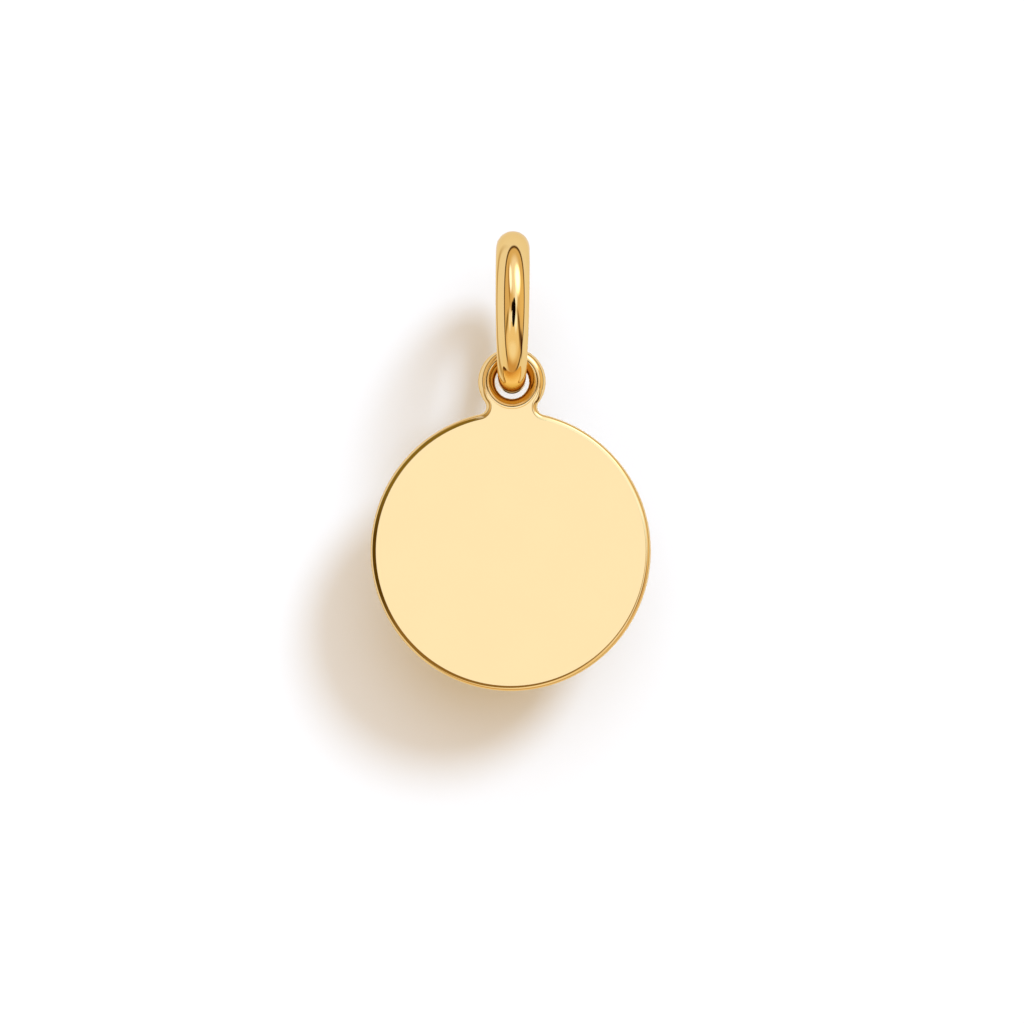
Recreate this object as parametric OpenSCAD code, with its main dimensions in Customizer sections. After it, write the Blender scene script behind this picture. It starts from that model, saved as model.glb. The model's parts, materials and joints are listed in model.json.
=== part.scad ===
// Hoop charm: a polished disc with an eyelet, hanging free on a round wire bail ring.
// Millimetres, +Z up. The disc faces -Y and the ring stands square to it, in the YZ plane.
// The origin is the inner top of the ring, where a hoop, chain or cord bears.

/* [Disc] */
// Diameter of the disc
disc_d = 10; // [8:0.1:15]
// Thickness of the disc and its neck
plate_t = 0.58; // [0.5:0.01:0.58]
// Radius of the rounding along the disc's edge
edge_r = 0.2; // [0.1:0.01:0.22]

/* [Eyelet] */
// Thickness of the eyelet's full-round section
eyelet_wire = 0.6; // [0.6:0.01:0.7]
// Diameter of the eyelet's hole at its narrowest
eyelet_hole_d = 1.22; // [1.16:0.01:1.4]
// How far the eyelet's outline sinks into the disc's outline
eyelet_sink = 0.17; // [0.05:0.01:0.3]
// Radius of the concave fillets between the eyelet and the disc
neck_fillet_r = 0.28; // [0.2:0.01:0.4]

/* [Bail ring] */
// Diameter of the circle that the middle of the ring's wire follows
ring_d = 4.7; // [4.4:0.05:5.6]
// Thickness of the wire over the top of the ring
wire_top = 1.2; // [1:0.05:1.3]
// Thickness of the wire at the bottom, where the eyelet hangs
wire_bottom = 1; // [0.8:0.05:1]
// How late the wire thins: higher keeps it thick for more of the way down
taper_power = 3; // [1:0.5:5]
// Gap between the eyelet and the wire that it hangs on
hang_gap = 0.04; // [0.02:0.01:0.06]

/* [Hidden] */
gold = [0.93, 0.76, 0.42];

// Facets of the exact round shapes, and of the ring's swept wire
$fn = 96;
RING_STEPS = 84;
WIRE_SIDES = 32;

// Heights
ring_centre_z = -(ring_d - wire_top) / 2;
ring_bottom_z = ring_centre_z - ring_d / 2;
eyelet_hole_r = eyelet_hole_d / 2;
eyelet_z = ring_bottom_z + wire_bottom / 2 + hang_gap - eyelet_hole_r;

// Sizes that follow from the driving ones
disc_r = disc_d / 2;
eyelet_mid_r = eyelet_hole_r + eyelet_wire / 2;
eyelet_r = eyelet_hole_r + eyelet_wire;
eyelet_rise = disc_r + eyelet_r - eyelet_sink;
disc_z = eyelet_z - eyelet_rise;

// A fillet circle touches the disc's outline and the eyelet's outline. It is pressed this far into both, so that the
// surfaces cross cleanly.
fillet_bite = 0.004;
to_disc = disc_r + neck_fillet_r - fillet_bite;
to_eyelet = eyelet_r + neck_fillet_r - fillet_bite;
fillet_rise = (eyelet_rise ^ 2 + to_disc ^ 2 - to_eyelet ^ 2) / (2 * eyelet_rise);
fillet_x = sqrt(to_disc ^ 2 - fillet_rise ^ 2);
fillet_z = disc_z + fillet_rise;

// Turns a shape whose axis is Z to lie along Y, with its own Y becoming Z
module face_y() {
  rotate([90, 0, 0]) children();
}

// Half of the section of a plate with a rounded rim, out to the radius r
module rounded_plate_section(r) {
  rim_r = r - edge_r;
  rim_h = plate_t / 2 - edge_r;
  translate([0, -plate_t / 2]) square([rim_r, plate_t]);
  translate([0, -rim_h]) square([r, 2 * rim_h]);
  for (side = [-1, 1]) translate([rim_r, side * rim_h]) circle(edge_r);
}

module disc_plate() {
  translate([0, 0, disc_z]) face_y() rotate_extrude() intersection() {
    rounded_plate_section(disc_r);
    translate([0, -plate_t]) square([disc_d, 2 * plate_t]);
  }
}

module eyelet_bead() {
  translate([0, 0, eyelet_z]) face_y() rotate_extrude()
    translate([eyelet_mid_r, 0]) circle(eyelet_wire / 2);
}

// The space beside the neck: a round bore that flares towards both faces, so that it leaves a rounded edge
module fillet_cut() {
  flare_r = neck_fillet_r + edge_r;
  rim_h = plate_t / 2 - edge_r;
  face_y() rotate_extrude() difference() {
    translate([0, -plate_t]) square([flare_r, 2 * plate_t]);
    translate([neck_fillet_r, -rim_h]) square([flare_r, 2 * rim_h]);
    for (side = [-1, 1]) translate([flare_r, side * rim_h]) circle(edge_r);
  }
}

// The web between eyelet and disc, with a fillet on each side. It ends inside the eyelet's bead, under its crest.
module neck() {
  difference() {
    face_y() linear_extrude(plate_t, center = true) polygon([
      [0, disc_z + disc_r - 2 * edge_r],
      [fillet_x, fillet_z],
      [0, eyelet_z],
      [-fillet_x, fillet_z]
    ]);
    for (side = [-1, 1]) translate([side * fillet_x, 0, fillet_z]) fillet_cut();
    translate([0, 0, eyelet_z]) face_y() cylinder(h = 2 * plate_t, r = eyelet_mid_r, center = true);
  }
}

module charm_disc() {
  color(gold) union() {
    disc_plate();
    neck();
    eyelet_bead();
  }
}

// Thickness of the wire at the angle a from the top of the ring
function wire_r(a) =
  let (down = (1 - cos(a)) / 2)
  (wire_top - (wire_top - wire_bottom) * down ^ taper_power) / 2;

// One point of the wire's skin: a round the ring from the top, b round the wire from its outer side
function skin_point(a, b) =
  let (r = wire_r(a), out = ring_d / 2 + r * cos(b))
  [r * sin(b), out * sin(a), ring_centre_z + out * cos(a)];

module bail_ring() {
  points = [
    for (i = [0 : RING_STEPS - 1]) for (j = [0 : WIRE_SIDES - 1])
      skin_point(360 * i / RING_STEPS, 360 * j / WIRE_SIDES)
  ];
  function at(i, j) = (i % RING_STEPS) * WIRE_SIDES + j % WIRE_SIDES;
  faces = [
    for (i = [0 : RING_STEPS - 1]) for (j = [0 : WIRE_SIDES - 1])
      each [
        [at(i, j), at(i + 1, j), at(i + 1, j + 1)],
        [at(i, j), at(i + 1, j + 1), at(i, j + 1)]
      ]
  ];
  color(gold) polyhedron(points, faces);
}

charm_disc();
bail_ring();
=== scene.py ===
"""A polished gold disc charm hanging free on a round wire bail ring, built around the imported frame.

It is laid out as an add-on and run as a script. Places are in metres, and in the stage's tables in
millimetres. They are in the frame's own axes: +Z up, the disc facing -Y, and the origin where the ring
hangs, at its inner top.
"""

import json
import math
from typing import NamedTuple

import bmesh
import bpy
from bpy.props import FloatProperty, FloatVectorProperty, PointerProperty
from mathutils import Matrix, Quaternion, Vector


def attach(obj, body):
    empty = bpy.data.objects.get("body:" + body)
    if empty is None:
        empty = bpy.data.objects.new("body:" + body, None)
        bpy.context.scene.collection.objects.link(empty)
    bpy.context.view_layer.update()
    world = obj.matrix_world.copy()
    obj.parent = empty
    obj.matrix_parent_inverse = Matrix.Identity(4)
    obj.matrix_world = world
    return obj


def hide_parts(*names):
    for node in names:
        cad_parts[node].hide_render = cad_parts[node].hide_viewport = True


bl_info = {
    "name": "Hoop charm",
    "version": (1, 0, 0),
    "blender": (4, 5, 0),
    "location": "View3D > Sidebar > Charm",
    "description": "Builds a polished disc charm and its bail ring, with the light that they are shown in",
    "category": "Add Mesh",
}

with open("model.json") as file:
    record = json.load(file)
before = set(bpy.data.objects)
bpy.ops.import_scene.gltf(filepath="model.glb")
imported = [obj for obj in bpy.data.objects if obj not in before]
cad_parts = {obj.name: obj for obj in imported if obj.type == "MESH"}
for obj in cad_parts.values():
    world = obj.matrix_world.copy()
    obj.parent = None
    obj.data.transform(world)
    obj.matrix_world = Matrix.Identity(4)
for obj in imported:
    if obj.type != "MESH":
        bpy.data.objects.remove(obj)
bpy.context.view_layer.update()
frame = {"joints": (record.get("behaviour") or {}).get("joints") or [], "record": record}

MM = 0.001

# Where the frame puts the pieces. The ring hangs from the origin, and the disc swings about its eyelet's
# middle.
MOUNTS = {mount["name"]: mount for mount in frame["record"]["mounts"]}
HANG_POINT = Vector(MOUNTS["hang_point"]["pos_m"])
EYELET_CENTRE = Vector(frame["joints"][0]["pos_m"])
DISC_FACE = Vector(MOUNTS["disc_front"]["pos_m"])

# Fineness of the round shapes
DISC_STEPS = 288
FILLET_STEPS = 16
SINK_STEPS = 24
UNDER_BEAD_STEPS = 48
EDGE_SEGMENTS = 12
BEAD_SECTIONS = 192
BEAD_SIDES = 64
RING_SECTIONS = 240
RING_SIDES = 72
CARD_STEPS = 96
DOME_STEPS = 96

# How far each edge of the neck runs on, round its own centre, as it sinks into the eyelet's bead
SINK_ANGLE = math.radians(45)
# How far short of the bead's crest the plate ends inside it, as a share of the bead's thickness
UNDER_BEAD = 0.1
# Faces that meet at less than this are shaded as one surface
SMOOTH_ANGLE = math.radians(9)
# Vertices that are closer than this are one
WELD = 1e-7


def linear(hex_colour):
    """The linear colour of an sRGB hex value such as #ffd700."""
    parts = [int(hex_colour[i : i + 2], 16) / 255 for i in (1, 3, 5)]
    return [c / 12.92 if c <= 0.04045 else ((c + 0.055) / 1.055) ** 2.4 for c in parts]


class CharmSizes(bpy.types.PropertyGroup):
    """Sizes of the charm."""

    disc_diameter: FloatProperty(
        name="Disc diameter",
        description="Diameter of the disc",
        default=10.0 * MM,
        unit="LENGTH",
        precision=5,
    )
    plate_thickness: FloatProperty(
        name="Plate thickness",
        description="Thickness of the disc and its neck",
        default=-2 * DISC_FACE.y,
        unit="LENGTH",
        precision=5,
    )
    edge_radius: FloatProperty(
        name="Edge radius",
        description="Radius of the rounding along the plate's edges",
        default=0.2 * MM,
        unit="LENGTH",
        precision=5,
    )
    eyelet_wire: FloatProperty(
        name="Eyelet thickness",
        description="Thickness of the eyelet's full-round bead",
        default=0.6 * MM,
        unit="LENGTH",
        precision=5,
    )
    eyelet_hole: FloatProperty(
        name="Eyelet hole",
        description="Diameter of the eyelet's hole at its narrowest",
        default=1.22 * MM,
        unit="LENGTH",
        precision=5,
    )
    neck_fillet: FloatProperty(
        name="Neck fillet",
        description="Radius of the concave fillets between the eyelet and the disc",
        default=0.28 * MM,
        unit="LENGTH",
        precision=5,
    )
    neck_sink: FloatProperty(
        name="Neck sink",
        description="Radius of the curves on which the neck's edges sink into the eyelet",
        default=0.8 * MM,
        unit="LENGTH",
        precision=5,
    )
    ring_diameter: FloatProperty(
        name="Ring diameter",
        description="Diameter of the circle that the middle of the ring's wire follows",
        default=4.7 * MM,
        unit="LENGTH",
        precision=5,
    )
    wire_top: FloatProperty(
        name="Wire at the top",
        description="Thickness of the ring's wire over its top",
        default=1.2 * MM,
        unit="LENGTH",
        precision=5,
    )
    wire_bottom: FloatProperty(
        name="Wire at the bottom",
        description="Thickness of the ring's wire where the eyelet hangs",
        default=1.0 * MM,
        unit="LENGTH",
        precision=5,
    )
    taper_power: FloatProperty(
        name="Taper power",
        description="How late the wire thins on its way down",
        default=3.0,
    )


class CharmFinish(bpy.types.PropertyGroup):
    """Colours and polish of the gold."""

    disc_colour: FloatVectorProperty(
        name="Disc gold",
        description="Colour of the disc's polished gold",
        subtype="COLOR",
        size=3,
        default=linear("#fbdfa4"),
    )
    ring_colour: FloatVectorProperty(
        name="Ring gold",
        description="Colour of the ring's polished gold",
        subtype="COLOR",
        size=3,
        default=linear("#fcde9b"),
    )
    polish: FloatProperty(
        name="Polish",
        description="Roughness of the polished gold",
        default=0.045,
        subtype="FACTOR",
    )


class CharmStage(bpy.types.PropertyGroup):
    """The backdrop, light and camera."""

    view_width: FloatProperty(
        name="View width",
        description="Width of the picture at the charm",
        default=36.57 * MM,
        unit="LENGTH",
        precision=5,
    )
    lens: FloatProperty(
        name="Lens",
        description="Focal length on a sensor 36 mm wide, in millimetres",
        default=105.0,
    )
    wall_gap: FloatProperty(
        name="Wall gap",
        description="How far the backdrop is behind the charm",
        default=4.3 * MM,
        unit="LENGTH",
        precision=5,
    )
    wall_colour: FloatVectorProperty(
        name="Backdrop",
        description="Colour of the matt paper behind and below the charm",
        subtype="COLOR",
        size=3,
        default=linear("#eeeeee"),
    )
    tent_colour: FloatVectorProperty(
        name="Light tent",
        description="Colour of the white tent that the gold mirrors",
        subtype="COLOR",
        size=3,
        default=linear("#f1eae5"),
    )


def deselect_all():
    """Leaves nothing selected, because an operator acts on all that is."""
    bpy.ops.object.select_all(action="DESELECT")


def make_active(piece):
    """Selects one object and nothing else."""
    deselect_all()
    piece.select_set(True)
    bpy.context.view_layer.objects.active = piece


def apply_modifier(piece, kind, **settings):
    """Adds a modifier to a piece and applies it."""
    modifier = piece.modifiers.new(kind.title(), kind)
    for setting, value in settings.items():
        setattr(modifier, setting, value)
    make_active(piece)
    bpy.ops.object.modifier_apply(modifier=modifier.name)


def unite(piece, other):
    """Joins another closed shape to a piece and removes it."""
    apply_modifier(piece, "BOOLEAN", operation="UNION", solver="EXACT", object=other)
    bpy.data.objects.remove(other)


def select_edges(piece, wanted):
    """Selects the edges, in edit mode, whose two ends satisfy wanted."""
    mesh = bmesh.from_edit_mesh(piece.data)
    for vertex in mesh.verts:
        vertex.select = False
    mesh.select_flush(False)
    for edge in mesh.edges:
        if wanted(edge.verts[0].co, edge.verts[1].co):
            edge.select = True
    mesh.select_flush_mode()
    bmesh.update_edit_mesh(piece.data)


def finish_shape(piece, name):
    """Welds and shades a finished piece, and checks that it is closed."""
    piece.name = name
    piece.data.name = name
    make_active(piece)
    bpy.ops.object.mode_set(mode="EDIT")
    bpy.ops.mesh.select_all(action="SELECT")
    bpy.ops.mesh.remove_doubles(threshold=WELD)
    bpy.ops.mesh.normals_make_consistent(inside=False)
    bpy.ops.object.mode_set(mode="OBJECT")
    bpy.ops.object.shade_smooth_by_angle(angle=SMOOTH_ANGLE)
    apply_modifier(piece, "WEIGHTED_NORMAL", mode="FACE_AREA", weight=50, keep_sharp=True)
    mesh = bmesh.new()
    mesh.from_mesh(piece.data)
    open_edges = [edge for edge in mesh.edges if not edge.is_manifold]
    mesh.free()
    if open_edges:
        raise RuntimeError(f"{name} has {len(open_edges)} edges that don't close")


def add_node(tree, kind, settings=None, **sockets):
    """Adds a node.

    A socket, named with _ for a space, takes a value or is linked from another node's output.
    """
    node = tree.nodes.new(kind)
    for setting, value in (settings or {}).items():
        setattr(node, setting, value)
    for socket, value in sockets.items():
        entry = node.inputs[socket.replace("_", " ")]
        if isinstance(value, bpy.types.NodeSocket):
            tree.links.new(value, entry)
        else:
            entry.default_value = value
    return node


class RecessShade(NamedTuple):
    """Painted shade where the eyelet and the ring meet: the gold's colour is darkened there.

    The tones run from the first distance, from the eyelet's axis or its middle, to the second.
    """

    axes: tuple
    first: float
    second: float
    tones: list


# How far from the eyelet's middle the ring's painted shade reaches, as a multiple of the wire's thickness
RING_SHADE_REACH = 1.4
# The disc's painted shade tones, by distance from the eyelet's axis: from the hole's edge to the bead's
# crest
EYELET_SHADE_TONES = [
    (0.0, (0.62, 0.49, 0.42)),
    (0.2, (0.87, 0.74, 0.74)),
    (0.45, (0.95, 0.8, 0.8)),
    (0.7, (0.95, 0.84, 0.78)),
    (0.9, (1.0, 1.0, 1.0)),
]
# The ring's painted shade tones, by distance from the eyelet's middle
RING_SHADE_TONES = [
    (0.0, (0.65, 0.6, 0.3)),
    (0.55, (0.67, 0.57, 0.25)),
    (0.8, (0.85, 0.79, 0.58)),
    (1.0, (1.0, 1.0, 1.0)),
]


def distance_from(tree, place, centre, axes):
    """How far a place is from a centre, measured along the axes that are 1."""
    offset = add_node(tree, "ShaderNodeVectorMath", {"operation": "SUBTRACT"}, Vector=place)
    offset.inputs[1].default_value = centre
    across = add_node(
        tree, "ShaderNodeVectorMath", {"operation": "MULTIPLY"}, Vector=offset.outputs["Vector"]
    )
    across.inputs[1].default_value = axes
    length = add_node(
        tree, "ShaderNodeVectorMath", {"operation": "LENGTH"}, Vector=across.outputs["Vector"]
    )
    return length.outputs["Value"]


def set_stops(ramp, stops):
    """Gives a colour ramp its stops, each a position, a linear colour and an alpha."""
    elements = ramp.color_ramp.elements
    while len(elements) < len(stops):
        elements.new(1.0)
    for element, (position, colour, alpha) in zip(elements, stops):
        element.position = position
        element.color = (*colour, alpha)


def painted_recess_shade(tree, place, recess_shade):
    """The painted shade that darkens the gold where the eyelet and the ring meet, and white elsewhere."""
    share = add_node(
        tree,
        "ShaderNodeMapRange",
        Value=distance_from(tree, place, EYELET_CENTRE, recess_shade.axes),
        From_Min=recess_shade.first,
        From_Max=recess_shade.second,
    )
    tint = add_node(tree, "ShaderNodeValToRGB", Fac=share.outputs["Result"])
    set_stops(tint, [(position, tone, 1.0) for position, tone in recess_shade.tones])
    return tint.outputs["Color"]


# The soft cloudiness of the alloy: how wide it is, and how far it strays to each side, as a share
CLOUD_SIZE = 2 * MM
CLOUD_STRAY = 0.015
# The haze that the buff leaves: the same
HAZE_SIZE = 0.3 * MM
HAZE_STRAY = 0.2
# Hand-buffed metal is never quite true: how far apart its swells are, and how high
SWELL_SIZE = 1.5 * MM
SWELL_HEIGHT = 0.002 * MM
# Tint of the gold where it is seen nearly edge-on
EDGE_TINT = "#f8eccf"


def polished_gold(name, colour, polish, recess_shade):
    """Fourteen carat yellow gold, buffed until it mirrors its surroundings, with painted shade near the
    eyelet.
    """
    material = bpy.data.materials.new(name)
    material.use_nodes = True
    tree = material.node_tree
    tree.nodes.clear()
    place = add_node(tree, "ShaderNodeTexCoord").outputs["Object"]
    cloud = add_node(tree, "ShaderNodeTexNoise", Vector=place, Scale=1 / CLOUD_SIZE, Detail=2.0)
    tone = add_node(tree, "ShaderNodeMix", {"data_type": "RGBA"}, Factor=cloud.outputs["Fac"])
    tone.inputs[6].default_value = [c * (1 - CLOUD_STRAY) for c in colour] + [1.0]
    tone.inputs[7].default_value = [min(1.0, c * (1 + CLOUD_STRAY)) for c in colour] + [1.0]
    # Painted shade: the gold is darkened towards the eyelet's hole, and on the ring where it hangs in the
    # eyelet
    deeper = add_node(tree, "ShaderNodeMix", {"data_type": "RGBA", "blend_type": "MULTIPLY"}, Factor=1.0)
    tree.links.new(tone.outputs[2], deeper.inputs[6])
    tree.links.new(painted_recess_shade(tree, place, recess_shade), deeper.inputs[7])
    haze = add_node(tree, "ShaderNodeTexNoise", Vector=place, Scale=1 / HAZE_SIZE, Detail=4.0)
    rough = add_node(tree, "ShaderNodeMapRange", Value=haze.outputs["Fac"])
    rough.inputs["To Min"].default_value = polish * (1 - HAZE_STRAY)
    rough.inputs["To Max"].default_value = polish * (1 + HAZE_STRAY)
    swell = add_node(tree, "ShaderNodeTexNoise", Vector=place, Scale=1 / SWELL_SIZE, Detail=1.0)
    bump = add_node(tree, "ShaderNodeBump", Height=swell.outputs["Fac"], Distance=SWELL_HEIGHT, Strength=1.0)
    shader = add_node(
        tree,
        "ShaderNodeBsdfPrincipled",
        Metallic=1.0,
        Base_Color=deeper.outputs[2],
        Roughness=rough.outputs["Result"],
        Specular_Tint=[*linear(EDGE_TINT), 1.0],
        Normal=bump.outputs["Normal"],
    )
    add_node(tree, "ShaderNodeOutputMaterial", Surface=shader.outputs["BSDF"])
    return material


def spin_arc(centre, angle, steps):
    """Extends the outline from its selected end round a centre, anticlockwise as the front shows it."""
    bpy.ops.mesh.spin(
        steps=steps, angle=angle, center=centre, axis=(0, 1, 0), dupli=False, use_auto_merge=False
    )


def turn_of(centre, start, end, clockwise):
    """The angle of the arc round a centre from start to end, in the XZ plane, for spin_arc."""
    first = math.atan2(start.z - centre.z, start.x - centre.x)
    last = math.atan2(end.z - centre.z, end.x - centre.x)
    turn = (last - first) % (2 * math.pi)
    return turn - 2 * math.pi if clockwise else turn


class CHARM_OT_add_disc(bpy.types.Operator):
    """Add the disc with its neck and its eyelet, one solid piece"""

    bl_idname = "charm.add_disc"
    bl_label = "Disc with eyelet"

    def execute(self, context):
        sizes = context.scene.charm_sizes
        plate = self.plate(sizes)
        unite(plate, self.bead(sizes))
        finish_shape(plate, "disc_with_eyelet")
        finish = context.scene.charm_finish
        plate.data.materials.clear()
        crest_radius = (sizes.eyelet_hole + sizes.eyelet_wire) / 2
        # Painted shade inside the eyelet, from the hole's edge to the bead's crest
        recess_shade = RecessShade((1, 0, 1), sizes.eyelet_hole / 2, crest_radius, EYELET_SHADE_TONES)
        plate.data.materials.append(
            polished_gold("disc_polished_gold", finish.disc_colour, finish.polish, recess_shade)
        )
        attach(plate, "charm")
        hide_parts("charm_disc")
        return {"FINISHED"}

    def bead(self, sizes):
        """The eyelet's full-round bead."""
        deselect_all()
        bead_radius = sizes.eyelet_wire / 2
        bpy.ops.mesh.primitive_torus_add(
            location=EYELET_CENTRE,
            rotation=(math.pi / 2, 0, 0),
            major_segments=BEAD_SECTIONS,
            minor_segments=BEAD_SIDES,
            major_radius=sizes.eyelet_hole / 2 + bead_radius,
            minor_radius=bead_radius,
        )
        bpy.ops.object.transform_apply(location=True, rotation=True, scale=True)
        return bpy.context.object

    def plate(self, sizes):
        """The disc and its neck: one outline of arcs, extruded, with rounded edges."""
        front = -sizes.plate_thickness / 2
        disc_radius = sizes.disc_diameter / 2
        crest_radius = (sizes.eyelet_hole + sizes.eyelet_wire) / 2
        eyelet_radius = crest_radius + sizes.eyelet_wire / 2
        disc_centre = Vector((0, front, DISC_FACE.z))
        eyelet = Vector((0, front, EYELET_CENTRE.z))
        # The plate ends inside the bead, a little short of its crest
        under_bead = crest_radius - sizes.eyelet_wire * UNDER_BEAD
        # A fillet's circle touches the disc's outline and the eyelet's
        rise = eyelet.z - disc_centre.z
        to_disc = disc_radius + sizes.neck_fillet
        to_eyelet = eyelet_radius + sizes.neck_fillet
        fillet_rise = (rise**2 + to_disc**2 - to_eyelet**2) / (2 * rise)
        fillet_side = math.sqrt(to_disc**2 - fillet_rise**2)
        points = {}
        for side in (-1, 1):
            fillet = Vector((side * fillet_side, front, disc_centre.z + fillet_rise))
            outwards = (fillet - eyelet).normalized()
            sink = eyelet + outwards * (eyelet_radius - sizes.neck_sink)
            along = math.atan2(outwards.z, outwards.x) + side * SINK_ANGLE
            end = sink + sizes.neck_sink * Vector((math.cos(along), 0, math.sin(along)))
            points[side] = {
                "fillet": fillet,
                "on_disc": disc_centre + (fillet - disc_centre).normalized() * disc_radius,
                "on_eyelet": eyelet + outwards * eyelet_radius,
                "sink": sink,
                "end": end,
                "inner_end": eyelet + (end - eyelet).normalized() * under_bead,
            }
        left, right = points[-1], points[1]
        deselect_all()
        bpy.ops.mesh.primitive_plane_add(size=MM, location=left["inner_end"])
        plate = bpy.context.object
        bpy.ops.object.transform_apply(location=True, rotation=True, scale=True)
        bpy.ops.object.mode_set(mode="EDIT")
        bpy.ops.mesh.select_mode(type="VERT")
        bpy.ops.mesh.merge(type="CENTER")
        bpy.ops.mesh.extrude_region_move(TRANSFORM_OT_translate={"value": left["end"] - left["inner_end"]})
        arcs = [
            (left["sink"], left["end"], left["on_eyelet"], False, SINK_STEPS),
            (left["fillet"], left["on_eyelet"], left["on_disc"], True, FILLET_STEPS),
            (disc_centre, left["on_disc"], right["on_disc"], False, DISC_STEPS),
            (right["fillet"], right["on_disc"], right["on_eyelet"], True, FILLET_STEPS),
            (right["sink"], right["on_eyelet"], right["end"], False, SINK_STEPS),
        ]
        for centre, start, end, clockwise, steps in arcs:
            spin_arc(centre, turn_of(centre, start, end, clockwise), steps)
        bpy.ops.mesh.extrude_region_move(TRANSFORM_OT_translate={"value": right["inner_end"] - right["end"]})
        spin_arc(eyelet, turn_of(eyelet, right["end"], left["end"], True), UNDER_BEAD_STEPS)
        bpy.ops.mesh.select_all(action="SELECT")
        bpy.ops.mesh.remove_doubles(threshold=WELD)
        bpy.ops.mesh.edge_face_add()
        bpy.ops.mesh.extrude_region_move(
            TRANSFORM_OT_translate={"value": (0, sizes.plate_thickness, 0)}
        )
        bpy.ops.mesh.select_all(action="SELECT")
        bpy.ops.mesh.normals_make_consistent(inside=False)
        bpy.ops.mesh.select_all(action="DESELECT")
        bpy.ops.mesh.select_mode(type="EDGE")

        outside = (left["end"] - eyelet).length - WELD

        def on_outline(a, b):
            along_a_face = abs(a.y - b.y) < WELD
            return along_a_face and all(math.hypot(p.x - eyelet.x, p.z - eyelet.z) > outside for p in (a, b))

        select_edges(plate, on_outline)
        bpy.ops.mesh.bevel(
            offset=sizes.edge_radius,
            offset_type="OFFSET",
            segments=EDGE_SEGMENTS,
            profile=0.5,
            affect="EDGES",
            clamp_overlap=False,
        )
        bpy.ops.mesh.select_all(action="SELECT")
        bpy.ops.mesh.remove_doubles(threshold=WELD)
        bpy.ops.mesh.normals_make_consistent(inside=False)
        bpy.ops.object.mode_set(mode="OBJECT")
        return plate


class CHARM_OT_add_bail_ring(bpy.types.Operator):
    """Add the round wire bail ring, which thins towards the bottom"""

    bl_idname = "charm.add_bail_ring"
    bl_label = "Bail ring"

    def execute(self, context):
        sizes = context.scene.charm_sizes
        wire_radius = sizes.wire_top / 2
        centre_line = sizes.ring_diameter / 2
        centre = HANG_POINT - Vector((0, 0, centre_line - wire_radius))
        deselect_all()
        bpy.ops.mesh.primitive_torus_add(
            location=centre,
            rotation=(0, math.pi / 2, 0),
            major_segments=RING_SECTIONS,
            minor_segments=RING_SIDES,
            major_radius=centre_line,
            minor_radius=wire_radius,
        )
        ring = context.object
        bpy.ops.object.transform_apply(location=True, rotation=True, scale=True)
        bpy.ops.object.mode_set(mode="EDIT")
        bpy.ops.mesh.select_mode(type="VERT")
        self.thin_the_wire(ring, centre, centre_line, sizes)
        bpy.ops.object.mode_set(mode="OBJECT")
        finish_shape(ring, "round_bail_ring")
        finish = context.scene.charm_finish
        ring.data.materials.clear()
        # Painted shade on the ring where it hangs in the eyelet
        reach = sizes.wire_bottom * RING_SHADE_REACH
        recess_shade = RecessShade((1, 1, 1), sizes.wire_bottom / 2, reach, RING_SHADE_TONES)
        ring.data.materials.append(
            polished_gold("ring_polished_gold", finish.ring_colour, finish.polish, recess_shade)
        )
        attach(ring, "ring")
        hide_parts("bail_ring")
        return {"FINISHED"}

    def thin_the_wire(self, ring, centre, centre_line, sizes):
        """Shrinks each section of the wire about its own middle."""
        mesh = bmesh.from_edit_mesh(ring.data)
        sections = {}
        step = 2 * math.pi / RING_SECTIONS
        for vertex in mesh.verts:
            angle = math.atan2(vertex.co.y - centre.y, vertex.co.z - centre.z)
            sections.setdefault(round(angle / step) % RING_SECTIONS, []).append(vertex.index)
        for section, indices in sections.items():
            angle = section * step
            down = (1 - math.cos(angle)) / 2
            wire = sizes.wire_top - (sizes.wire_top - sizes.wire_bottom) * down**sizes.taper_power
            share = wire / sizes.wire_top
            mesh = bmesh.from_edit_mesh(ring.data)
            mesh.verts.ensure_lookup_table()
            for vertex in mesh.verts:
                vertex.select = False
            for index in indices:
                mesh.verts[index].select = True
            mesh.select_flush_mode()
            middle = centre + centre_line * Vector((0, math.sin(angle), math.cos(angle)))
            bpy.ops.transform.resize(value=(share, share, share), center_override=middle)


class Zone(NamedTuple):
    """A part of the gold, near a centre or far from it, in millimetres along the axes that are 1.

    It takes in none of the gold at the distance none_at, and all of it from all_at on, away from none_at.
    """

    centre: tuple
    axes: tuple
    none_at: float
    all_at: float


class Card(NamedTuple):
    """An oval card that the gold mirrors: its middle and its width and height, in millimetres.

    It tilts up from lying flat and turns in its own plane, in degrees. Its edge is soft over a share of its
    half width. Only the gold that is in all its zones mirrors it.
    """

    name: str
    middle: tuple
    width: float
    height: float
    tilt: float
    turn: float
    softness: float
    zones: tuple
    colour: str
    strength: float


class Band(NamedTuple):
    """A part of a wide dome round the disc that the gold mirrors, with its radius in millimetres.

    Seen from the disc's middle, it starts at so many degrees off straight ahead, and it ends at so many:
    most at the angle towards, and least opposite. Each stop has an angle, a colour and how much it covers
    there. The angles go round anticlockwise from the right, in degrees, as the front shows it. Only the
    gold that is in all its zones mirrors it.
    """

    name: str
    radius: float
    starts: float
    ends_most: float
    ends_least: float
    towards: float
    zones: tuple
    strength: float
    stops: list


class Glow(NamedTuple):
    """A soft-edged oval of the far surroundings that the gold mirrors.

    Its half width, its half height and its turn in its own plane are in degrees. Its edge is soft over a
    share of its half width to each side.
    """

    name: str
    azimuth: float
    elevation: float
    half_width: float
    half_height: float
    turn: float
    softness: float
    colour: str
    strength: float


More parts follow.
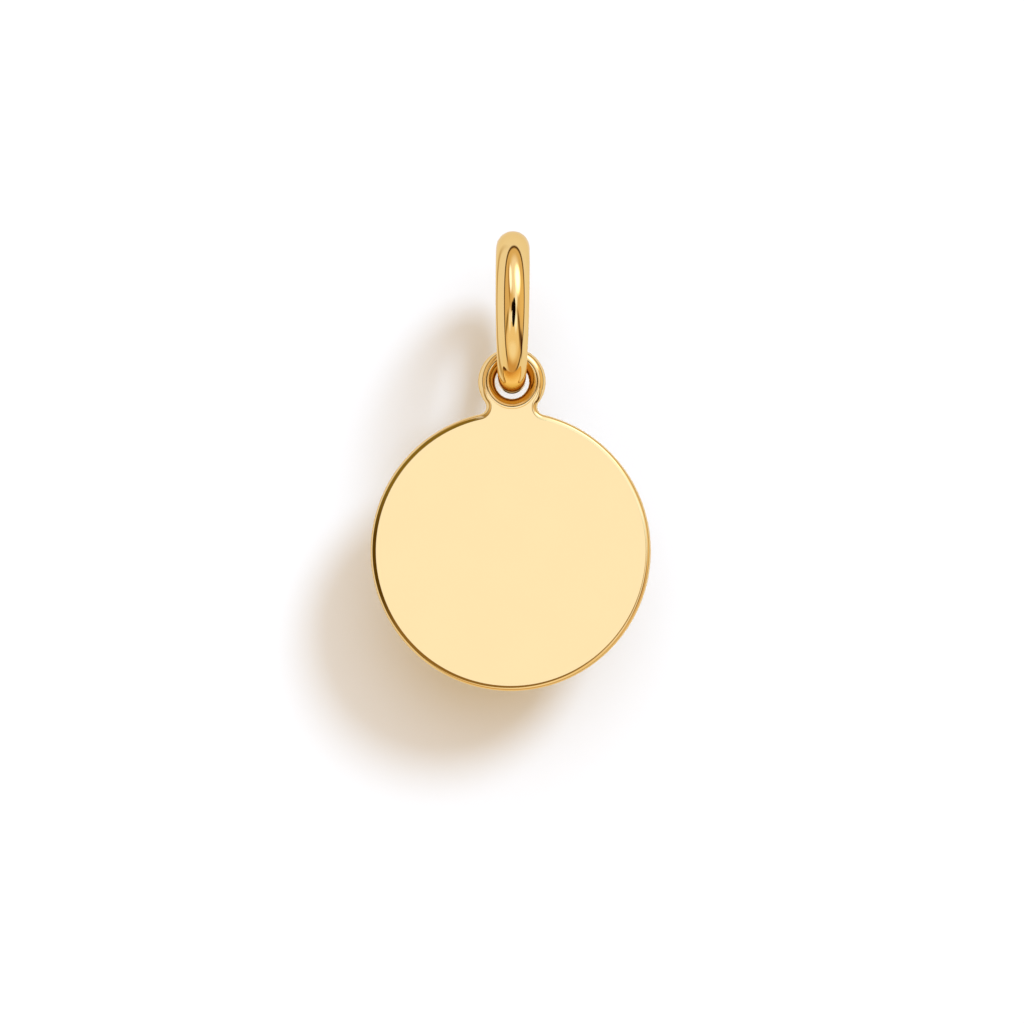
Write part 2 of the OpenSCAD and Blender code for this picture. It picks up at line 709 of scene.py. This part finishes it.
# Places in millimetres, as the zones have them
EYELET = tuple(EYELET_CENTRE / MM)
FACE_MIDDLE = tuple(DISC_FACE / MM)
HALF_PLATE = -FACE_MIDDLE[1]
RING_MIDDLE = (0, 0, -1.75)
# How near its plane a place counts as on a flat face, in millimetres
ON_FACE = 0.0002

RING = Zone(RING_MIDDLE, (1, 1, 1), none_at=3.1, all_at=3)
RING_FRONT = Zone((0, -2.6, -1.9), (1, 1, 1), none_at=2, all_at=1.9)
FACE = Zone(FACE_MIDDLE, (0, 1, 0), none_at=1.5 * ON_FACE, all_at=ON_FACE)
BETWEEN_FACES = Zone((0, 0, 0), (0, 1, 0), none_at=HALF_PLATE - ON_FACE, all_at=HALF_PLATE - 2 * ON_FACE)
OFF_THE_EYELET = Zone(EYELET, (1, 0, 1), none_at=1.2, all_at=1.9)
OFF_THE_RING = Zone(RING_MIDDLE, (0, 1, 1), none_at=3, all_at=3.4)
# The disc's rounded rim
RIM = (BETWEEN_FACES, OFF_THE_EYELET, OFF_THE_RING)

CARDS = [
    # Painted reflection: a dark card that only the ring's front mirrors, standing in for the camera's dark
    # lens
    Card(
        name="dark_before_the_ring",
        middle=(0.5, -5.45, -2.03),
        width=1.26,
        height=3.2,
        tilt=90,
        turn=-6,
        softness=0.1,
        zones=(RING_FRONT,),
        colour="#0c0603",
        strength=1.0,
    ),
    # Painted shade: a dark card that only the ring mirrors, standing in for the shaded gap behind the ring
    Card(
        name="dark_behind_the_ring",
        middle=(0, 2.3, -4.95),
        width=2.4,
        height=4.0,
        tilt=0,
        turn=0,
        softness=0.5,
        zones=(RING,),
        colour="#3a1f0a",
        strength=1.0,
    ),
    Card(
        name="white_before_the_disc",
        middle=(0, -60, -11.05),
        width=18.4,
        height=18.4,
        tilt=90,
        turn=0,
        softness=0.02,
        zones=(),
        colour="#f3f5ff",
        strength=1.176,
    ),
    # Painted reflection: a white sheet that only the flat faces mirror, so they stay pale when seen from the
    # side
    Card(
        name="white_before_the_face",
        middle=(0, -61, -11),
        width=320,
        height=320,
        tilt=90,
        turn=0,
        softness=0.6,
        zones=(FACE,),
        colour="#f3f5ff",
        strength=1.176,
    ),
]

# Painted reflections on the rim: each band is seen only in the disc's rounded rim, where it lays the dark
# line at the left, the light at the right and the tan at the lower right
# Each dome has a radius of its own, so that none lies on another
BANDS = [
    Band(
        name="dark_round_the_left",
        radius=150,
        starts=9,
        ends_most=85,
        ends_least=30,
        towards=172,
        zones=RIM,
        strength=1.0,
        stops=[
            (101, "#857030", 0.0),
            (102, "#857030", 1.0),
            (154, "#857030", 1.0),
            (174, "#5a4412", 1.0),
            (200, "#5a4412", 1.0),
            (218, "#8f713a", 1.0),
            (294, "#8f713a", 1.0),
            (314, "#b29155", 1.0),
            (332, "#b29155", 1.0),
            (350, "#b29155", 0.0),
        ],
    ),
    Band(
        name="light_at_the_right",
        radius=148,
        starts=7,
        ends_most=56,
        ends_least=56,
        towards=0,
        zones=RIM,
        strength=1.385,
        stops=[(-9, "#e1f0ff", 0.0), (16, "#e1f0ff", 1.0), (78, "#e1f0ff", 1.0), (79, "#e1f0ff", 0.0)],
    ),
    Band(
        name="tan_at_the_lower_right",
        radius=146,
        starts=58,
        ends_most=100,
        ends_least=100,
        towards=0,
        zones=RIM,
        strength=1.0,
        stops=[(312, "#debc8e", 0.0), (324, "#debc8e", 1.0), (340, "#debc8e", 1.0), (352, "#debc8e", 0.0)],
    ),
]

# Azimuth 0 is towards the camera and 90 to the right. Each is laid over those before it.
GLOWS = [
    Glow("table", 0, -88, 60, 60, 0, 0.3, "#f0e2c9", 1.0),
    Glow("shadow on the backdrop", -133, -8, 7, 45, 0, 0.6, "#c0a57c", 1.0),
    Glow("gap round the tent", 16, 3.5, 75.5, 102, 0, 0.02, "#55380c", 1.0),
    Glow("inside of the tent", 16, 3.5, 68.5, 96, 0, 0.02, "#ddbf90", 1.0),
    Glow("right of the tent", 68, 15, 14, 28, 0, 0.4, "#eacb94", 1.0),
    Glow("gold below", 0, -86, 26, 18, 0, 0.4, "#d0a468", 1.0),
    Glow("table before the tent", 10, -42, 42, 36, 0, 0.2, "#f2dcb8", 1.0),
    Glow("far table", 8, -58, 22, 12, 0, 0.5, "#f9eedd", 1.0),
    Glow("edge of the table at the left", -38, -15, 5, 17, -35, 0.5, "#8f7642", 1.0),
    Glow("edge of the table at the right", 52, -19, 6, 24, 42, 0.5, "#7d5a2a", 1.0),
    Glow("stand at the right", 82, -30, 18, 6.5, -25, 0.4, "#432618", 1.0),
    Glow("between the softboxes", 22, 50, 26, 32, 0, 0.3, "#f9f0ec", 1.0),
    Glow("rim of the left softbox", -27, 35, 4, 30, 22, 0.5, "#a98450", 1.0),
    Glow("left softbox", -18, 46, 7, 20, 18, 0.3, "#e2e7ff", 1.75),
    Glow("light under the key softbox", 26, 18, 8, 16, 0, 0.5, "#eaf0ff", 1.25),
    Glow("light on the table at the right", 26, -14, 8, 13, 8, 0.6, "#e0ecff", 1.4),
    Glow("light on the table at the left", -17, -13, 7, 14, -8, 0.6, "#f9f8ff", 1.05),
    Glow("key softbox", 43, 42, 14, 18, 0, 0.5, "#ffffff", 2.6),
    Glow("camera", 0, 3, 7, 10, 0, 0.25, "#2b1a0c", 1.0),
]


class Sun(NamedTuple):
    """A soft far light from a direction, with its width, all in degrees."""

    name: str
    azimuth: float
    elevation: float
    width: float
    strength: float


# Both shine from the front right: the softbox itself, and the paler wide light beside it
SUNS = [
    Sun("key_light", 32, 32.5, 17.5, 2.08),
    Sun("key_spill", 10, 31, 62, 1.45),
]
# The suns are cool and the tent's fill light is warm, so the shadow is warm on white paper
SUN_COLOUR = (0.57, 0.76, 1.0)
FILL_COLOUR = (1.0, 0.765, 0.508, 1.0)
FILL_STRENGTH = 0.74

# How far off the suns stand, which makes no difference to their light
SUN_GAP = 150 * MM

# Width of the backdrop and of the floor, and how far down the floor is
PAPER_WIDTH = 600 * MM
FLOOR_DROP = 60 * MM

# Where the camera stands to the side and in height, and how the charm leans in the picture
CAMERA_SIDE = 0.035 * MM
CAMERA_HEIGHT = -8.82 * MM
LEAN = math.radians(-0.4)
# Of the camera, in millimetres
SENSOR_WIDTH = 36


def oval_look(tree, card):
    """A card's colour, and its cover, which fades towards its edge."""
    place = add_node(tree, "ShaderNodeTexCoord").outputs["Object"]
    across = add_node(tree, "ShaderNodeVectorMath", {"operation": "LENGTH"}, Vector=place)
    cover = add_node(
        tree,
        "ShaderNodeMapRange",
        {"interpolation_type": "SMOOTHSTEP"},
        Value=across.outputs["Value"],
        From_Min=0.5,
        From_Max=0.5 * (1 - card.softness),
    )
    return [*linear(card.colour), 1.0], cover.outputs["Result"]


def arc_look(tree, band):
    """A band's colour and cover, by the angle round the disc."""
    place = add_node(tree, "ShaderNodeTexCoord").outputs["Object"]
    # A radial gradient passes its middle, a half, at the band's own middle
    middle = (band.stops[0][0] + band.stops[-1][0]) / 2
    turned = add_node(
        tree,
        "ShaderNodeMapping",
        {"vector_type": "TEXTURE"},
        Vector=place,
        Location=(0, 0, DISC_FACE.z),
        Rotation=(math.pi / 2, -math.radians(middle), 0),
    )
    turn = add_node(
        tree, "ShaderNodeTexGradient", {"gradient_type": "RADIAL"}, Vector=turned.outputs["Vector"]
    )
    look = add_node(tree, "ShaderNodeValToRGB", Fac=turn.outputs["Fac"])
    stops = [(0.5 + (angle - middle) / 360, linear(colour), cover) for angle, colour, cover in band.stops]
    set_stops(look, stops)
    return look.outputs["Color"], look.outputs["Alpha"]


def shine(sheet, look):
    """The surface of a card or band, which shines and is clear to the gold outside its zones."""
    material = bpy.data.materials.new(sheet.name)
    material.use_nodes = True
    tree = material.node_tree
    tree.nodes.clear()
    # Where on the gold the mirrored ray set out, its own length back from here. Where the camera stands
    # isn't used.
    here = add_node(tree, "ShaderNodeNewGeometry")
    rays = add_node(tree, "ShaderNodeLightPath")
    source = add_node(
        tree, "ShaderNodeVectorMath", {"operation": "MULTIPLY_ADD"}, Vector=here.outputs["Incoming"]
    )
    tree.links.new(rays.outputs["Ray Length"], source.inputs[1])
    tree.links.new(here.outputs["Position"], source.inputs[2])
    colour, cover = look(tree, sheet)
    for zone in sheet.zones:
        distance = distance_from(tree, source.outputs["Vector"], Vector(zone.centre) * MM, zone.axes)
        inside = add_node(
            tree,
            "ShaderNodeMapRange",
            Value=distance,
            From_Min=zone.none_at * MM,
            From_Max=zone.all_at * MM,
        )
        both = add_node(tree, "ShaderNodeMath", {"operation": "MULTIPLY"})
        tree.links.new(inside.outputs["Result"], both.inputs[0])
        tree.links.new(cover, both.inputs[1])
        cover = both.outputs["Value"]
    clear = add_node(tree, "ShaderNodeBsdfTransparent")
    glow = add_node(tree, "ShaderNodeEmission", Color=colour, Strength=sheet.strength)
    surface = add_node(tree, "ShaderNodeMixShader", Fac=cover)
    tree.links.new(clear.outputs["BSDF"], surface.inputs[1])
    tree.links.new(glow.outputs["Emission"], surface.inputs[2])
    add_node(tree, "ShaderNodeOutputMaterial", Surface=surface.outputs["Shader"])
    return material


# Depth of a glow's measuring space, over 1 so that its oval doesn't show on the far side too
GLOW_DEPTH = 1.5


def half_chord(angle):
    """The scale at which an oval on the unit sphere reaches so many degrees from its middle."""
    angle = math.radians(angle)
    return math.sin(angle) / math.sqrt(1 - ((1 - math.cos(angle)) / GLOW_DEPTH) ** 2)


def towards(azimuth, elevation):
    """The direction at an azimuth and an elevation, in degrees."""
    azimuth, elevation = math.radians(azimuth), math.radians(elevation)
    level = math.cos(elevation)
    return Vector((math.sin(azimuth) * level, -math.cos(azimuth) * level, math.sin(elevation)))


def hide_from(thing, *rays):
    """Makes a stage object invisible to the named kinds of ray."""
    for ray in rays:
        setattr(thing, f"visible_{ray}", False)


class CHARM_OT_add_stage(bpy.types.Operator):
    """Add the pale backdrop and floor, the soft light and the camera"""

    bl_idname = "charm.add_stage"
    bl_label = "Stage and camera"

    def execute(self, context):
        stage = context.scene.charm_stage
        self.backdrop(stage)
        self.surroundings(context.scene, stage)
        for sun in SUNS:
            self.sun(sun)
        for card in CARDS:
            self.card(card)
        for band in BANDS:
            self.band(band)
        self.camera(context.scene, stage)
        context.scene.view_settings.view_transform = "Standard"
        return {"FINISHED"}

    def paper(self, stage):
        """Matt white paper that shows on its front only, so it doesn't hide the charm from behind."""
        material = bpy.data.materials.new("matt_paper")
        material.use_nodes = True
        tree = material.node_tree
        tree.nodes.clear()
        matt = add_node(tree, "ShaderNodeBsdfDiffuse", Color=[*stage.wall_colour, 1.0])
        clear = add_node(tree, "ShaderNodeBsdfTransparent")
        behind = add_node(tree, "ShaderNodeNewGeometry").outputs["Backfacing"]
        side = add_node(tree, "ShaderNodeMixShader", Fac=behind)
        tree.links.new(matt.outputs["BSDF"], side.inputs[1])
        tree.links.new(clear.outputs["BSDF"], side.inputs[2])
        add_node(tree, "ShaderNodeOutputMaterial", Surface=side.outputs["Shader"])
        return material

    def backdrop(self, stage):
        """A wall close behind the charm, which takes its shadow, and a floor far below."""
        paper = self.paper(stage)
        sheets = {
            "backdrop": ((0, stage.wall_gap, 0), (math.pi / 2, 0, 0), ["glossy"]),
            # The tent's fill light comes through the floor, which only takes shadows
            "floor": ((0, 0, -FLOOR_DROP), (0, 0, 0), ["glossy", "diffuse"]),
        }
        for name, (place, turn, hidden_from) in sheets.items():
            deselect_all()
            bpy.ops.mesh.primitive_plane_add(size=PAPER_WIDTH, location=place, rotation=turn)
            sheet = bpy.context.object
            sheet.name = name
            sheet.data.materials.append(paper)
            hide_from(sheet, *hidden_from)

    def surroundings(self, scene, stage):
        """A white tent: one brightness for what the gold mirrors, a lower one for what fills the shadows."""
        world = bpy.data.worlds.new("light_tent")
        scene.world = world
        world.use_nodes = True
        tree = world.node_tree
        tree.nodes.clear()
        rays = add_node(tree, "ShaderNodeLightPath")
        seen = add_node(tree, "ShaderNodeBackground", Color=(1.0, 1.0, 1.0, 1.0), Strength=1.0)
        mirrored = add_node(tree, "ShaderNodeBackground", Color=self.glows(tree, stage), Strength=1.0)
        filling = add_node(tree, "ShaderNodeBackground", Color=FILL_COLOUR, Strength=FILL_STRENGTH)
        light = add_node(tree, "ShaderNodeMixShader", Fac=rays.outputs["Is Diffuse Ray"])
        tree.links.new(mirrored.outputs["Background"], light.inputs[1])
        tree.links.new(filling.outputs["Background"], light.inputs[2])
        chosen = add_node(tree, "ShaderNodeMixShader", Fac=rays.outputs["Is Camera Ray"])
        tree.links.new(light.outputs["Shader"], chosen.inputs[1])
        tree.links.new(seen.outputs["Background"], chosen.inputs[2])
        add_node(tree, "ShaderNodeOutputWorld", Surface=chosen.outputs["Shader"])

    def sun(self, sun):
        """One soft far light, which lights the paper and isn't mirrored."""
        direction = towards(sun.azimuth, sun.elevation)
        bpy.ops.object.light_add(type="SUN", location=direction * SUN_GAP)
        light = bpy.context.object
        light.name = sun.name
        light.data.angle = math.radians(sun.width)
        light.data.energy = sun.strength
        light.data.color = SUN_COLOUR
        light.rotation_euler = direction.to_track_quat("Z", "Y").to_euler()
        hide_from(light, "glossy")

    def glows(self, tree, stage):
        """The colour of the far surroundings in every direction."""
        direction = add_node(tree, "ShaderNodeTexCoord").outputs["Generated"]
        colour = add_node(tree, "ShaderNodeRGB").outputs["Color"]
        colour.default_value = [*stage.tent_colour, 1.0]
        for glow in GLOWS:
            middle = towards(glow.azimuth, glow.elevation)
            frame_turn = middle.to_track_quat("Z", "Y") @ Quaternion((0, 0, 1), math.radians(glow.turn))
            local = add_node(
                tree,
                "ShaderNodeMapping",
                {"vector_type": "TEXTURE"},
                Vector=direction,
                Location=middle,
                Rotation=frame_turn.to_euler(),
                Scale=(half_chord(glow.half_width), half_chord(glow.half_height), GLOW_DEPTH),
            )
            reach = add_node(
                tree, "ShaderNodeVectorMath", {"operation": "LENGTH"}, Vector=local.outputs["Vector"]
            )
            share = add_node(
                tree,
                "ShaderNodeMapRange",
                {"interpolation_type": "SMOOTHSTEP"},
                Value=reach.outputs["Value"],
                From_Min=1 + glow.softness,
                From_Max=1 - glow.softness,
            )
            laid = add_node(tree, "ShaderNodeMix", {"data_type": "RGBA"}, Factor=share.outputs["Result"])
            tree.links.new(colour, laid.inputs[6])
            laid.inputs[7].default_value = [c * glow.strength for c in linear(glow.colour)] + [1.0]
            colour = laid.outputs[2]
        return colour

    def card(self, card):
        """One flat oval card."""
        tilt = Quaternion((1, 0, 0), math.radians(card.tilt))
        turn = Quaternion((0, 0, 1), math.radians(card.turn))
        deselect_all()
        bpy.ops.mesh.primitive_circle_add(
            vertices=CARD_STEPS,
            radius=0.5,
            fill_type="NGON",
            location=Vector(card.middle) * MM,
            rotation=(tilt @ turn).to_euler(),
        )
        oval = bpy.context.object
        oval.scale = (card.width * MM, card.height * MM, 1)
        self.only_mirrored(oval, card.name, shine(card, oval_look))

    def band(self, band):
        """One dome, cut to its band by two planes."""
        centre = Vector((0, 0, DISC_FACE.z))
        radius = band.radius * MM
        side = math.radians(band.towards)
        out = Vector((math.cos(side), 0, math.sin(side)))
        back = Vector((0, 1, 0))

        def on_dome(angle, sign):
            """The place on the dome at an angle off straight ahead, on the side towards or the other."""
            angle = math.radians(angle)
            return centre + radius * (sign * math.sin(angle) * out - math.cos(angle) * back)

        start = on_dome(band.starts, 1)
        end, opposite_end = on_dome(band.ends_most, 1), on_dome(band.ends_least, -1)
        cuts = [(start, -back), (end, out.cross(back).cross(end - opposite_end))]
        deselect_all()
        bpy.ops.mesh.primitive_uv_sphere_add(
            segments=DOME_STEPS, ring_count=DOME_STEPS, radius=radius, location=centre
        )
        dome = bpy.context.object
        bpy.ops.object.transform_apply(location=True, rotation=True, scale=True)
        bpy.ops.object.mode_set(mode="EDIT")
        for place, cut_off in cuts:
            bpy.ops.mesh.select_all(action="SELECT")
            bpy.ops.mesh.bisect(plane_co=place, plane_no=cut_off, clear_outer=True)
        bpy.ops.object.mode_set(mode="OBJECT")
        self.only_mirrored(dome, band.name, shine(band, arc_look))

    def only_mirrored(self, sheet, name, surface):
        """Lets a sheet be seen in the gold and nowhere else."""
        sheet.name = name
        sheet.data.materials.append(surface)
        hide_from(sheet, "camera", "diffuse", "shadow", "transmission", "volume_scatter")

    def camera(self, scene, stage):
        """The photograph's view: square on, with the charm leaning a little."""
        deselect_all()
        bpy.ops.object.camera_add()
        camera = bpy.context.object
        camera.data.lens = stage.lens
        camera.data.sensor_width = SENSOR_WIDTH
        distance = stage.view_width * stage.lens / SENSOR_WIDTH
        camera.location = (CAMERA_SIDE, -distance, CAMERA_HEIGHT)
        camera.rotation_euler = (math.pi / 2, LEAN, 0)
        camera.data.clip_start = MM
        camera.data.clip_end = 10
        scene.camera = camera


class CHARM_PT_sidebar(bpy.types.Panel):
    """The charm's pieces, sizes and finish"""

    bl_label = "Hoop charm"
    bl_idname = "CHARM_PT_sidebar"
    bl_space_type = "VIEW_3D"
    bl_region_type = "UI"
    bl_category = "Charm"

    def draw(self, context):
        for group in GROUPS:
            box = self.layout.box()
            for name in group.__annotations__:
                box.prop(getattr(context.scene, GROUPS[group]), name)
        for operator in OPERATORS:
            self.layout.operator(operator.bl_idname)


GROUPS = {CharmSizes: "charm_sizes", CharmFinish: "charm_finish", CharmStage: "charm_stage"}
OPERATORS = (CHARM_OT_add_disc, CHARM_OT_add_bail_ring, CHARM_OT_add_stage)


def register():
    """Registers the classes and puts the settings on the scene."""
    for group, name in GROUPS.items():
        bpy.utils.register_class(group)
        setattr(bpy.types.Scene, name, PointerProperty(type=group))
    for operator in OPERATORS:
        bpy.utils.register_class(operator)
    bpy.utils.register_class(CHARM_PT_sidebar)


def unregister():
    """Takes the classes and settings away again."""
    bpy.utils.unregister_class(CHARM_PT_sidebar)
    for operator in reversed(OPERATORS):
        bpy.utils.unregister_class(operator)
    for group, name in GROUPS.items():
        delattr(bpy.types.Scene, name)
        bpy.utils.unregister_class(group)


def main():
    """Builds the charm and its stage."""
    register()
    bpy.ops.charm.add_disc()
    bpy.ops.charm.add_bail_ring()
    bpy.ops.charm.add_stage()


if __name__ == "__main__":
    main()
